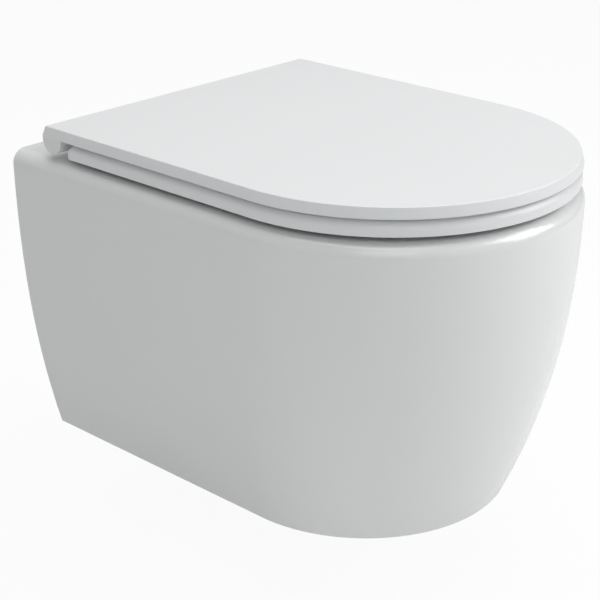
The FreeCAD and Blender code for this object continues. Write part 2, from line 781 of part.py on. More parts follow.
def build_flush_pieces():
    """Build the spreader in the flush channel, its ring and the cuff for the flush pipe."""
    z = "inlet_rise"
    nose = "( bowl_rear - through )"
    plug_y = f"0 - {nose} + channel_radius"
    outer = "channel_radius - loose_gap"
    plug = rod("plug", ("0", plug_y, z), outer, "channel_radius + 2 * through", ALONG_Y)
    face = cone("plug_nose", ("0", f"0 - {nose} - 2 * through", z), outer, "channel_radius / 2",
                "2 * through", ALONG_Y)
    outside = fuse("spreader_outside", [plug, face])
    bore = rod("plug_bore", ("0", f"{plug_y} + through", z), "channel_radius - spreader_wall",
               "channel_radius + 2 * through", ALONG_Y)
    slot = box("side_slot", ("0 - channel_radius - through", f"0 - {nose} - 2 * through", f"{z} - through"),
               ("2 * channel_radius + 2 * through", "2 * through", "through"))
    down = box("down_slot", ("0 - channel_radius / 2", f"0 - {nose} - 2 * through",
                             f"{z} - channel_radius - through"),
               ("channel_radius", "through", "channel_radius"))
    groove_y = f"{plug_y} - through"
    groove_radius = f"{outer} - ring_depth"
    groove = solid("Torus", "ring_groove", ("0", groove_y, z),
                   {"Radius1": groove_radius, "Radius2": "ring_groove / 2"}, ALONG_Y)
    spreader = cut("spreader", outside, fuse("spreader_hollow", [bore, slot, down, groove]))
    ring = solid("Torus", "spreader_ring", ("0", groove_y, z),
                 {"Radius1": groove_radius, "Radius2": "ring_thickness / 2"}, ALONG_Y)
    cuff = tube("cuff", ("0", "0 - pipe_setback", z), "cuff_radius - running_gap",
                "flush_pipe_radius + running_gap", "cuff_length - running_gap", ALONG_Y)
    return [group("flush_diverter", [spreader]), group("diverter_oring", [ring]), group("inlet_seal", [cuff])]


def build_wall_fixings():
    """Build the sleeves on the wall studs, the clamp screws with their inserts, and the floor caps."""
    x, y = "fixing_spacing / 2", "0 - clamp_distance"
    low = "0 - boss_radius"
    tip = "0 - fixing_hole - clamp_tip_gap"
    body = tube("sleeve_tube", (x, "0", "0"), "fixing_hole - running_gap", "stud_hole", "sleeve_length", ALONG_Y)
    dent = cone("sleeve_dent", (x, y, "0 - fixing_hole - clamp_tip_radius"), "clamp_radius + clamp_tip_radius",
                "clamp_tip_radius", "through")
    sleeve = cut("sleeve", body, dent)
    insert_wall = rod("insert_wall", (x, y, f"{low} - insert_flange"), "insert_radius - running_gap",
                      "boss_radius + insert_flange - fixing_hole - loose_gap")
    flange = rod("insert_rim", (x, y, f"{low} - insert_flange"), "insert_radius + insert_flange", "insert_flange")
    insert_bore = rod("insert_bore", (x, y, f"{low} - through"), "clamp_radius + running_gap",
                      "boss_radius + through")
    insert = cut("insert", fuse("insert_outside", [insert_wall, flange]), insert_bore)
    shank_top = f"( {tip} - clamp_tip_height )"
    shank = rod("clamp_shank", (x, y, f"{shank_top} - clamp_length"), "clamp_radius", "clamp_length")
    point = cone("clamp_point", (x, y, shank_top), "clamp_radius", "clamp_tip_radius", "clamp_tip_height")
    socket = solid("Prism", "clamp_socket", (x, y, f"{shank_top} - clamp_length - loose_gap"),
                   {"Circumradius": "clamp_radius / 2", "Height": "through"})
    screw = cut("clamp", fuse("clamp_outside", [shank, point]), socket)
    base = "rim_level - pan_height"
    plug = rod("cap_plug", (x, y, base), "access_radius - running_gap", "floor_thickness + cap_wall")
    rim = rod("cap_rim", (x, y, f"{base} + floor_thickness"), "access_radius + cap_wall", "cap_wall")
    well = rod("cap_well", (x, y, f"{base} + cap_wall"), "access_radius - cap_wall", "floor_thickness + through")
    cap = cut("cap", fuse("cap_outside", [plug, rim]), well)
    return [
        pair("fixing_sleeves", sleeve),
        pair("clamp_inserts", insert),
        pair("clamp_screws", screw),
        pair("access_caps", cap),
    ]


def hinge_body():
    """Build the right-hand hinge arm: disc, post, arm and knuckle, bored for bolt and pin."""
    x, y = "hinge_spacing / 2", "0 - hinge_hole_distance"
    left = "hinge_spacing / 2 - knuckle_width / 2"
    seat_level = "rim_level + gasket_thickness"
    low_arm = "pivot_level - hub_radius + arm_rise"
    disc = rod("hinge_disc", (x, y, seat_level), "disc_radius", "disc_thickness")
    post = box("hinge_post", (left, f"{y} - post_length / 2", seat_level),
               ("knuckle_width", "post_length", f"post_top - ( {seat_level} )"))
    arm = box("hinge_arm", (left, y, low_arm),
              ("knuckle_width", "hinge_hole_distance - pivot_distance", f"post_top - ( {low_arm} )"))
    hub = rod("hinge_hub", (left, "0 - pivot_distance", "pivot_level"), "hub_radius", "knuckle_width", ALONG_X)
    outside = fuse("hinge_outside", [disc, post, arm, hub])
    bolt_hole = rod("hinge_bolt_hole", (x, y, "rim_level"), "bolt_radius + loose_gap",
                    "post_top - rim_level + through")
    head_room = rod("hinge_head_room", (x, y, "post_top - bolt_head_height - bolt_recess"),
                    "bolt_head_radius + loose_gap", "bolt_head_height + bolt_recess + through")
    pin_hole = rod("hinge_pin_hole", (f"{left} - through", "0 - pivot_distance", "pivot_level"),
                   "pin_radius + running_gap", "knuckle_width + 2 * through", ALONG_X)
    return cut("hinge_right", outside, fuse("hinge_holes", [bolt_hole, head_room, pin_hole]))


def build_hinge_pieces():
    """Build the hinge arms and what holds them to the deck, the pins and the bushes."""
    x, y = "hinge_spacing / 2", "0 - hinge_hole_distance"
    right = hinge_body()
    left = mirrored(right)
    right.Label = "hinge_body_right"
    left.Label = "hinge_body_left"
    under = "rim_level - deck_thickness"
    hole = "bolt_radius + loose_gap"
    gasket = tube("gasket", (x, y, "rim_level"), "disc_radius", hole, "gasket_thickness")
    head_low = "post_top - bolt_head_height - bolt_recess"
    head = rod("bolt_head", (x, y, head_low), "bolt_head_radius", "bolt_head_height")
    shank = rod("bolt_shank", (x, y, f"{head_low} - bolt_length"), "bolt_radius", "bolt_length + loose_gap")
    hexagon = solid("Prism", "bolt_socket", (x, y, f"{head_low} + bolt_head_height / 2"),
                    {"Circumradius": "bolt_radius", "Height": "bolt_head_height"})
    bolt = cut("bolt", fuse("bolt_outside", [head, shank]), hexagon)
    cap = rod("bolt_cover", (x, y, "post_top - bolt_recess"), "bolt_head_radius + loose_gap - running_gap",
              "bolt_recess")
    foot_low = f"( {under} - plug_foot )"
    plug_tube = rod("plug_tube", (x, y, foot_low), "hinge_hole - running_gap", "deck_thickness + plug_foot")
    plug_foot = rod("plug_flange", (x, y, foot_low), "hinge_hole + plug_flange", "plug_foot")
    plug_bore = rod("plug_hole", (x, y, f"{foot_low} - through"), hole, "deck_thickness + plug_foot + 2 * through")
    plug = cut("plug_piece", fuse("plug_outside", [plug_tube, plug_foot]), plug_bore)
    washer = tube("washer", (x, y, f"{foot_low} - washer_thickness"), "hinge_hole + plug_flange", hole,
                  "washer_thickness")
    nut_low = f"( {foot_low} - washer_thickness - nut_height )"
    nut_outside = solid("Prism", "nut_outside", (x, y, nut_low),
                        {"Circumradius": "nut_radius", "Height": "nut_height"})
    nut_bore = rod("nut_bore", (x, y, f"{nut_low} - through"), "bolt_radius + running_gap",
                   "nut_height + 2 * through")
    nut = cut("nut", nut_outside, nut_bore)
    axis = ("0 - pivot_distance", "pivot_level")
    pin = rod("pin", ("notch_inner - bush_length + part_gap", *axis), "pin_radius", "pin_length", ALONG_X)
    bore = "pin_radius + running_gap"
    seat_bush = tube("seat_bush", ("notch_inner + part_gap", *axis), "bush_radius", bore, "lug_width", ALONG_X)
    inner = tube("lid_bush_inner", ("notch_inner - bush_length", *axis), "bush_radius", bore,
                 "bush_length", ALONG_X)
    outer = tube("lid_bush_outer", ("0 - notch_outer - bush_length - part_gap", *axis), "bush_radius", bore,
                 "bush_length", ALONG_X)
    lid_damper = tube("lid_damper_case", ("notch_outer + part_gap", *axis), "damper_radius", bore,
                      "damper_length", ALONG_X)
    case = rod("seat_damper_case", ("0 - notch_inner - part_gap", *axis), "damper_radius", "damper_length", ALONG_X)
    room = rod("seat_damper_bore", ("0 - notch_inner - part_gap", *axis), bore, "bush_length", ALONG_X)
    seat_damper = cut("seat_damper_piece", case, room)
    return [
        left,
        right,
        pair("hinge_gaskets", gasket),
        pair("hinge_bolts", bolt),
        pair("bolt_caps", cap),
        pair("expansion_plugs", plug),
        pair("hinge_washers", washer),
        pair("hinge_nuts", nut),
        pair("hinge_pins", pin),
        pair("seat_bushes", seat_bush),
        group("lid_bushes", [inner, outer]),
        group("lid_damper", [lid_damper]),
        group("seat_damper", [seat_damper]),
    ]


def buffer_places(distance):
    """Return where the right-hand buffers stand: beside the opening and on the front half round."""
    reach = "( lid_width / 2 - seat_side_land / 2 )"
    slant = f"{reach} * {math.sqrt(0.5)}"
    return ((reach, f"0 - {distance}"), (slant, f"0 - {LID_CENTRE} - {slant}"))


def build_buffers():
    """Build the rubber buffers under the seat and under the lid."""
    rows = (
        ("seat_buffers", "seat_buffer_distance", "rim_level", "seat_low + seat_hollow"),
        ("lid_buffers", "lid_buffer_distance", "seat_top", "lid_top - lid_skin"),
    )
    groups = []
    for name, distance, low, high in rows:
        pads = [
            rod(f"{name}_pad{number}", (x, y, low), "buffer_radius", f"{high} - {low}")
            for number, (x, y) in enumerate(buffer_places(distance))
        ]
        groups.append(group(name, pads + [mirrored(item) for item in pads]))
    return groups


def check_and_write(parts):
    """Check every object and write each sub-part to a file with its own name."""
    doc.recompute()
    for thing in doc.Objects:
        if "Invalid" in thing.State or "Error" in thing.State:
            raise ValueError(f"{thing.Name} failed: {thing.State}")
    os.makedirs("parts", exist_ok=True)
    for part in parts:
        if part.Shape.isNull() or not part.Shape.isValid():
            raise ValueError(f"{part.Label} is not sound")
        part.Shape.exportStep(f"parts/{part.Label}.step")
        size = part.Shape.BoundBox
        print(part.Label, len(part.Shape.Solids), round(part.Shape.Volume), size)


pan = build_pan()
lid = build_lid()
seat = build_seat()
pieces = build_flush_pieces() + build_wall_fixings() + build_hinge_pieces() + build_buffers()
check_and_write([pan, lid, seat] + pieces)
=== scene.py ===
"""Studio scene of a wall hung toilet: glazed pan, thermoset seat and lid, and their fittings."""
import logging  # noqa: E402
import math  # noqa: E402
from dataclasses import dataclass  # noqa: E402
from enum import Enum  # noqa: E402

import bmesh  # noqa: E402
import bpy  # noqa: E402
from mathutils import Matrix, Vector  # noqa: E402


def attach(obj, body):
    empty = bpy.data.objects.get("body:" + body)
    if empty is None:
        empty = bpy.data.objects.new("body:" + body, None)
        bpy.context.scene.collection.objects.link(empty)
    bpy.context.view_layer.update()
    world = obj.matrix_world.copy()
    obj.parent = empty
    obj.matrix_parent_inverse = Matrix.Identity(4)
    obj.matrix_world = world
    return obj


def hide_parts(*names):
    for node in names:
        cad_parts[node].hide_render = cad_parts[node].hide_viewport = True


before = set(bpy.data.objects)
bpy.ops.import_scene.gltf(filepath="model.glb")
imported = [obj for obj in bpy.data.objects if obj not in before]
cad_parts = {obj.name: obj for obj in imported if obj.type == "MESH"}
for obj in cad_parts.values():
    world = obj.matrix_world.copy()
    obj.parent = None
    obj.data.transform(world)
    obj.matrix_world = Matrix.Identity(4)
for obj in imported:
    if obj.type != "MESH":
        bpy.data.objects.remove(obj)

log = logging.getLogger("toilet")
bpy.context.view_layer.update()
# Metres within which corners are one corner, and the share at which a thread's open ends close.
MERGE = 1e-6
# Taken off a sine or cosine before its power, so that a zero with a rounding error stays zero.
ROUNDING = 1e-5
DISC_SIDES = 48
RING_SIDES = 64
SECTION_ROWS = 32
THREAD_SIDES = 24
# About six rows in each turn of the thread.
THREAD_ROWS = 252
SOCKET_SIDES = 6
# Weighted Normal's setting at which large faces count most.
LARGE_FACES_FIRST = 100
WHITE = (1.0, 1.0, 1.0, 1.0)
Colour = tuple[float, float, float, float]
Triple = tuple[float, float, float]
Value = bpy.types.NodeSocket | float


class Body(Enum):
    """The rigid bodies that pieces ride on."""

    PAN = "pan"
    SEAT = "seat"
    LID = "lid"


class Slot(Enum):
    """The record's material slots."""

    GLAZE = "glaze"
    DUROPLAST = "duroplast"
    WHITE_PLASTIC = "white_plastic"
    GREY_PLASTIC = "grey_plastic"
    RUBBER = "rubber"
    PALE_RUBBER = "pale_rubber"
    STEEL = "steel"


# ---------------------------------------------------------------- finishes
class NodeSheet:
    """A short way to write a material's nodes."""

    def __init__(self, name: str) -> None:
        """Start an empty node material.

        Args:
            name: The material's name.
        """
        self.material = bpy.data.materials.new(name)
        self.material.use_nodes = True
        self.tree = self.material.node_tree
        self.tree.nodes.clear()

    def node(self, kind: str, **inputs: object) -> bpy.types.Node:
        """Add a node and set its inputs.

        Args:
            kind: The node's type, such as "ShaderNodeTexNoise".
            **inputs: Values by socket name, with "_" for a space.

        Returns:
            The new node.
        """
        made = self.tree.nodes.new(kind)
        for word, value in inputs.items():
            made.inputs[word.replace("_", " ")].default_value = value
        return made

    def join(self, source: bpy.types.NodeSocket, target: bpy.types.NodeSocket) -> None:
        """Link one socket to another.

        Args:
            source: The output.
            target: The input.
        """
        self.tree.links.new(source, target)

    def noise(self, scale: float, detail: float = 3.0) -> bpy.types.NodeSocket:
        """Add a noise on Object coordinates.

        Args:
            scale: Waves in a metre.
            detail: Octaves.

        Returns:
            The noise's factor socket.
        """
        place = self.node("ShaderNodeTexCoord")
        noise = self.node("ShaderNodeTexNoise", Scale=scale, Detail=detail)
        self.join(place.outputs["Object"], noise.inputs["Vector"])
        return noise.outputs["Fac"]

    def spread(self, source: bpy.types.NodeSocket, low: float, high: float) -> bpy.types.NodeSocket:
        """Map a factor to a range of values.

        Args:
            source: The factor.
            low: The value at 0.
            high: The value at 1.

        Returns:
            The mapped value's socket.
        """
        ramp = self.node("ShaderNodeMapRange", To_Min=low, To_Max=high)
        ramp.clamp = False
        self.join(source, ramp.inputs["Value"])
        return ramp.outputs["Result"]

    def blend(self, source: bpy.types.NodeSocket, first: Colour, second: Colour) -> bpy.types.NodeSocket:
        """Blend two colours by a factor.

        Args:
            source: The factor.
            first: The colour at 0.
            second: The colour at 1.

        Returns:
            The blended colour's socket.
        """
        mix = self.tree.nodes.new("ShaderNodeMix")
        mix.data_type = "RGBA"
        mix.inputs["A"].default_value = first
        mix.inputs["B"].default_value = second
        self.join(source, mix.inputs["Factor"])
        return mix.outputs["Result"]

    def bump(self, source: bpy.types.NodeSocket, height: float) -> bpy.types.NodeSocket:
        """Make a bump normal from a height field.

        Args:
            source: The height as a factor.
            height: The full height in metres.

        Returns:
            The normal's socket.
        """
        bump = self.node("ShaderNodeBump", Strength=1.0, Distance=height)
        self.join(source, bump.inputs["Height"])
        return bump.outputs["Normal"]

    def finish(self, shader: bpy.types.Node) -> bpy.types.Material:
        """Join a shader to the output.

        Args:
            shader: The shader node.

        Returns:
            The material.
        """
        output = self.node("ShaderNodeOutputMaterial")
        self.join(shader.outputs[0], output.inputs["Surface"])
        return self.material


@dataclass(frozen=True)
class Finish:
    """A surface finish with slight, procedural unevenness.

    Attributes:
        name: The material's name.
        slot: The record's slot that it stands for; not used.
        tone: Main colour.
        shade: Second colour, blended in by a noise.
        rough: Lowest and highest roughness.
        grain: Waves in a metre of the unevenness.
        relief: Bump height in metres, or 0 for a glossy moulded or glazed face.
        metal: 1 for metal.
        coat: Weight of the clear gloss on top.
        coat_rough: Roughness of that gloss.
        refraction: Index of refraction.
    """

    name: str
    slot: Slot
    tone: Colour
    shade: Colour
    rough: tuple[float, float]
    grain: float
    relief: float = 0.0
    metal: float = 0.0
    coat: float = 0.0
    coat_rough: float = 0.05
    refraction: float = 1.5

    def material(self) -> bpy.types.Material:
        """Build the node material once.

        Returns:
            The material.
        """
        known = bpy.data.materials.get(self.name)
        if known:
            return known
        sheet = NodeSheet(self.name)
        noise = sheet.noise(self.grain)
        shader = sheet.node("ShaderNodeBsdfPrincipled", Metallic=self.metal, IOR=self.refraction)
        shader.inputs["Coat Weight"].default_value = self.coat
        shader.inputs["Coat Roughness"].default_value = self.coat_rough
        sheet.join(sheet.blend(noise, self.tone, self.shade), shader.inputs["Base Color"])
        sheet.join(sheet.spread(noise, *self.rough), shader.inputs["Roughness"])
        if self.relief:
            sheet.join(sheet.bump(noise, self.relief), shader.inputs["Normal"])
        return sheet.finish(shader)


GLAZE = Finish(
    "white_glaze", Slot.GLAZE, tone=(0.80, 0.815, 0.815, 1), shade=(0.79, 0.805, 0.806, 1),
    rough=(0.09, 0.15), grain=9.0, coat=0.25, coat_rough=0.03)
DUROPLAST = Finish(
    "white_thermoset", Slot.DUROPLAST, tone=(0.80, 0.815, 0.82, 1), shade=(0.79, 0.806, 0.81, 1),
    rough=(0.28, 0.38), grain=14.0)
WHITE_PLASTIC = Finish(
    "moulded_white", Slot.WHITE_PLASTIC, tone=(0.76, 0.77, 0.77, 1), shade=(0.73, 0.74, 0.74, 1),
    rough=(0.35, 0.45), grain=60.0, relief=0.00002)
GREY_PLASTIC = Finish(
    "moulded_grey", Slot.GREY_PLASTIC, tone=(0.18, 0.185, 0.19, 1), shade=(0.15, 0.155, 0.16, 1),
    rough=(0.4, 0.5), grain=80.0, relief=0.00002)
RUBBER = Finish(
    "black_rubber", Slot.RUBBER, tone=(0.02, 0.02, 0.021, 1), shade=(0.03, 0.03, 0.031, 1),
    rough=(0.6, 0.75), grain=120.0, relief=0.00003)
PALE_RUBBER = Finish(
    "pale_rubber", Slot.PALE_RUBBER, tone=(0.62, 0.63, 0.63, 1), shade=(0.57, 0.58, 0.58, 1),
    rough=(0.55, 0.7), grain=120.0, relief=0.00003)
STEEL = Finish(
    "satin_steel", Slot.STEEL, tone=(0.56, 0.56, 0.57, 1), shade=(0.50, 0.50, 0.51, 1),
    rough=(0.28, 0.40), grain=150.0, relief=0.000005, metal=1.0)


# ---------------------------------------------------------------- geometry trees
class FormTree:
    """A short way to write a Geometry Nodes tree that sets one form on every point."""

    def __init__(self, name: str) -> None:
        """Start a tree with a way in for the points and a way out for the forms.

        Args:
            name: The tree's name.
        """
        self.tree = bpy.data.node_groups.new(name, "GeometryNodeTree")
        self.keys: dict[str, str] = {}
        self.tree.interface.new_socket("Points", in_out="INPUT", socket_type="NodeSocketGeometry")
        self.tree.interface.new_socket("Forms", in_out="OUTPUT", socket_type="NodeSocketGeometry")
        self.entry = self.tree.nodes.new("NodeGroupInput")
        self.exit = self.tree.nodes.new("NodeGroupOutput")

    def size(self, name: str, kind: str = "NodeSocketFloat") -> bpy.types.NodeSocket:
        """Add a named input.

        Args:
            name: The input's name.
            kind: Its socket type.

        Returns:
            The socket to read it from.
        """
        item = self.tree.interface.new_socket(name, in_out="INPUT", socket_type=kind)
        self.keys[name] = item.identifier
        return self.entry.outputs[name]

    def node(self, kind: str, settings: dict[str, str] | None = None, **inputs: Value) -> bpy.types.Node:
        """Add a node and set or link its inputs.

        Args:
            kind: The node's type.
            settings: The node's own options.
            **inputs: Sockets or plain values by input name, with "_" for a space.

        Returns:
            The new node.
        """
        made = self.tree.nodes.new(kind)
        for word, option in (settings or {}).items():
            setattr(made, word, option)
        for word, value in inputs.items():
            self.feed(value, made.inputs[word.replace("_", " ")])
        return made

    def feed(self, value: Value, target: bpy.types.NodeSocket) -> None:
        """Link a socket to an input, or set the input to a plain value.

        Args:
            value: The socket or value.
            target: The input.
        """
        if isinstance(value, bpy.types.NodeSocket):
            self.tree.links.new(value, target)
        else:
            target.default_value = value

    def calc(self, kind: str, first: Value, second: Value = 0.0) -> bpy.types.NodeSocket:
        """Add a math node.

        Args:
            kind: Its operation, such as "MULTIPLY".
            first: Its first operand.
            second: Its second operand.

        Returns:
            The result's socket.
        """
        made = self.node("ShaderNodeMath", {"operation": kind})
        self.feed(first, made.inputs[0])
        self.feed(second, made.inputs[1])
        return made.outputs[0]

    def squared(self, wave: bpy.types.NodeSocket, power: bpy.types.NodeSocket) -> bpy.types.NodeSocket:
        """Square up a sine or cosine, keeping its sign, as a superellipse does.

        Args:
            wave: The sine or cosine.
            power: The exponent, 1 for a circle and less for a squarer form.

        Returns:
            The squared-up wave's socket.
        """
        size = self.calc("MAXIMUM", self.calc("SUBTRACT", self.calc("ABSOLUTE", wave), ROUNDING), 0.0)
        return self.calc("MULTIPLY", self.calc("POWER", size, power), self.calc("SIGN", wave))

    def turned(self, sides: int, rows: int, rule: "Rule") -> bpy.types.NodeSocket:
        """Wrap a grid round the axis.

        Args:
            sides: Faces round the axis.
            rows: Faces along the section.
            rule: Gives radius and height from the shares round and along.

        Returns:
            The closed form's socket.
        """
        grid = self.node("GeometryNodeMeshGrid", Size_X=1.0, Size_Y=1.0,
                         Vertices_X=sides + 1, Vertices_Y=rows + 1)
        shares = self.node("ShaderNodeSeparateXYZ", Vector=grid.outputs["UV Map"])
        around, along = shares.outputs["X"], shares.outputs["Y"]
        radius, height = rule(around, along)
        angle = self.calc("MULTIPLY", around, math.tau)
        place = self.node("ShaderNodeCombineXYZ", X=self.calc("MULTIPLY", radius, self.calc("COSINE", angle)),
                          Y=self.calc("MULTIPLY", radius, self.calc("SINE", angle)), Z=height)
        bent = self.node("GeometryNodeSetPosition", Geometry=grid.outputs["Mesh"], Position=place.outputs[0])
        closed = self.node("GeometryNodeMergeByDistance", Geometry=bent.outputs[0], Distance=MERGE)
        return closed.outputs[0]

    def close(self, form: bpy.types.NodeSocket) -> None:
        """Set the form on every point, shade it and give it its material.

        Args:
            form: The form's socket.
        """
        material = self.size("Material", "NodeSocketMaterial")
        placed = self.node("GeometryNodeInstanceOnPoints", Points=self.entry.outputs["Points"], Instance=form)
        real = self.node("GeometryNodeRealizeInstances", Geometry=placed.outputs[0])
        smooth = self.node("GeometryNodeSetShadeSmooth", Geometry=real.outputs[0])
        dressed = self.node("GeometryNodeSetMaterial", Geometry=smooth.outputs[0], Material=material)
        self.tree.links.new(dressed.outputs[0], self.exit.inputs[0])


class Rule:
    """A rule that gives a turned form's radius and height; one class for each kind of section."""

    def __init__(self, sheet: FormTree) -> None:
        """Name the rule's inputs on a tree.

        Args:
            sheet: The tree.
        """
        self.sheet = sheet

    def __call__(self, around: Value, along: Value) -> tuple[Value, Value]:
        """Give radius and height.

        Args:
            around: Share of the turn.
            along: Share of the section.

        Returns:
            Radius and height.
        """
        raise NotImplementedError


class DiscRule(Rule):
    """A disc or pad with rounded edges: half a superellipse from axis to axis."""

    def __call__(self, around: Value, along: Value) -> tuple[Value, Value]:
        """Give radius and height of a disc.

        Args:
            around: Share of the turn; not used.
            along: Share of the section.

        Returns:
            Radius and height.
        """
        sheet = self.sheet
        radius, height, power = sheet.size("Radius"), sheet.size("Height"), sheet.size("Squareness")
        angle = sheet.calc("MULTIPLY", along, math.pi)
        out = sheet.squared(sheet.calc("SINE", angle), power)
        rise = sheet.calc("SUBTRACT", 1.0, sheet.squared(sheet.calc("COSINE", angle), power))
        half = sheet.calc("MULTIPLY", height, 0.5)
        return sheet.calc("MULTIPLY", radius, out), sheet.calc("MULTIPLY", half, rise)


class RingRule(Rule):
    """A ring with a rounded section: a whole superellipse beside the axis."""

    def __call__(self, around: Value, along: Value) -> tuple[Value, Value]:
        """Give radius and height of a ring.

        Args:
            around: Share of the turn; not used.
            along: Share of the section.

        Returns:
            Radius and height.
        """
        sheet = self.sheet
        radius, bore = sheet.size("Radius"), sheet.size("Bore")
        height, power = sheet.size("Height"), sheet.size("Squareness")
        angle = sheet.calc("MULTIPLY", along, -math.tau)
        middle = sheet.calc("MULTIPLY", sheet.calc("ADD", radius, bore), 0.5)
        wall = sheet.calc("MULTIPLY", sheet.calc("SUBTRACT", radius, bore), 0.5)
        out = sheet.calc("MULTIPLY", wall, sheet.squared(sheet.calc("COSINE", angle), power))
        half = sheet.calc("MULTIPLY", height, 0.5)
        rise = sheet.calc("SUBTRACT", 1.0, sheet.squared(sheet.calc("SINE", angle), power))
        return sheet.calc("ADD", middle, out), sheet.calc("MULTIPLY", half, rise)


class ThreadRule(Rule):
    """A bar with a screw thread: a ridge that climbs one pitch in each turn."""

    def __call__(self, around: Value, along: Value) -> tuple[Value, Value]:
        """Give radius and height of a threaded bar.

        Args:
            around: Share of the turn.
            along: Share of the section.

        Returns:
            Radius and height.
        """
        sheet = self.sheet
        radius, height = sheet.size("Thread Radius"), sheet.size("Thread Length")
        pitch, depth = sheet.size("Pitch"), sheet.size("Thread Depth")
        level = sheet.calc("MULTIPLY", height, along)
        climb = sheet.calc("SUBTRACT", sheet.calc("DIVIDE", level, pitch), around)
        ridge = sheet.calc("PINGPONG", sheet.calc("MULTIPLY", climb, 2.0), 1.0)
        cut = sheet.calc("MULTIPLY", depth, ridge)
        body = sheet.calc("SUBTRACT", radius, cut)
        ends = sheet.calc("MULTIPLY", sheet.calc("GREATER_THAN", along, MERGE),
                          sheet.calc("LESS_THAN", along, 1.0 - MERGE))
        return sheet.calc("MULTIPLY", body, ends), level


def disc_tree() -> FormTree:
    """Write the tree of a rounded disc.

    Returns:
        The tree.
    """
    sheet = FormTree("rounded_disc")
    sheet.close(sheet.turned(DISC_SIDES, SECTION_ROWS, DiscRule(sheet)))
    return sheet


def ring_tree() -> FormTree:
    """Write the tree of a rounded ring.

    Returns:
        The tree.
    """
    sheet = FormTree("rounded_ring")
    sheet.close(sheet.turned(RING_SIDES, SECTION_ROWS, RingRule(sheet)))
    return sheet


def bolt_tree() -> FormTree:
    """Write the tree of a socket bolt: threaded bar, round head and six-sided socket.

    Returns:
        The tree.
    """
    sheet = FormTree("socket_bolt")
    bar = sheet.turned(THREAD_SIDES, THREAD_ROWS, ThreadRule(sheet))
    head = sheet.turned(DISC_SIDES, SECTION_ROWS, DiscRule(sheet))
    socket = sheet.size("Socket Radius")
    low = sheet.size("Head Level")
    key = sheet.node("GeometryNodeMeshCylinder", Vertices=SOCKET_SIDES, Radius=socket,
                     Depth=sheet.size("Socket Depth"))
    height = sheet.size("Socket Level")
    place = sheet.node("ShaderNodeCombineXYZ", Z=height)
    raised = sheet.node("GeometryNodeTransform", Geometry=key.outputs["Mesh"], Translation=place.outputs[0])
    drilled = sheet.node("GeometryNodeMeshBoolean", {"operation": "DIFFERENCE"})
    sheet.tree.links.new(head, drilled.inputs["Mesh 1"])
    sheet.tree.links.new(raised.outputs[0], drilled.inputs["Mesh 2"])
    lift = sheet.node("ShaderNodeCombineXYZ", Z=low)
    top = sheet.node("GeometryNodeTransform", Geometry=drilled.outputs["Mesh"], Translation=lift.outputs[0])
    whole = sheet.node("GeometryNodeJoinGeometry")
    sheet.tree.links.new(bar, whole.inputs[0])
    sheet.tree.links.new(top.outputs[0], whole.inputs[0])
    sheet.close(whole.outputs[0])
    return sheet


# ---------------------------------------------------------------- pieces
def bake_modifiers(piece: bpy.types.Object) -> None:
    """Turn a piece with modifiers into a plain mesh.

    Args:
        piece: The piece.
    """
    graph = bpy.context.evaluated_depsgraph_get()
    plain = bpy.data.meshes.new_from_object(piece.evaluated_get(graph))
    piece.modifiers.clear()
    old, piece.data = piece.data, plain
    bpy.data.meshes.remove(old)
    plain.name = piece.name


def new_piece(name: str, mesh: bpy.types.Mesh) -> bpy.types.Object:
    """Put a mesh in the scene as an object at the origin.

    Args:
        name: The object's name.
        mesh: Its mesh.

    Returns:
        The object.
    """
    piece = bpy.data.objects.new(name, mesh)
    bpy.context.scene.collection.objects.link(piece)
    return piece


def solids(node: str) -> list[tuple[Vector, Vector]]:
    """Measure the boxes of a CAD node's separate solids.

    Args:
        node: The node's name.

    Returns:
        The lowest and highest corner of each solid.
    """
    work = bmesh.new()
    work.from_mesh(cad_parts[node].data)
    bmesh.ops.remove_doubles(work, verts=work.verts, dist=MERGE)
    waiting = set(work.verts)
    boxes = []
    for first in work.verts:
        if first not in waiting:
            continue
        waiting.remove(first)
        reached = [first]
        spots = []
        while reached:
            vert = reached.pop()
            spots.append(vert.co.copy())
            near = {edge.other_vert(vert) for edge in vert.link_edges} & waiting
            waiting -= near
            reached.extend(near)
        boxes.append((Vector(map(min, *spots)), Vector(map(max, *spots))))
    work.free()
    return boxes


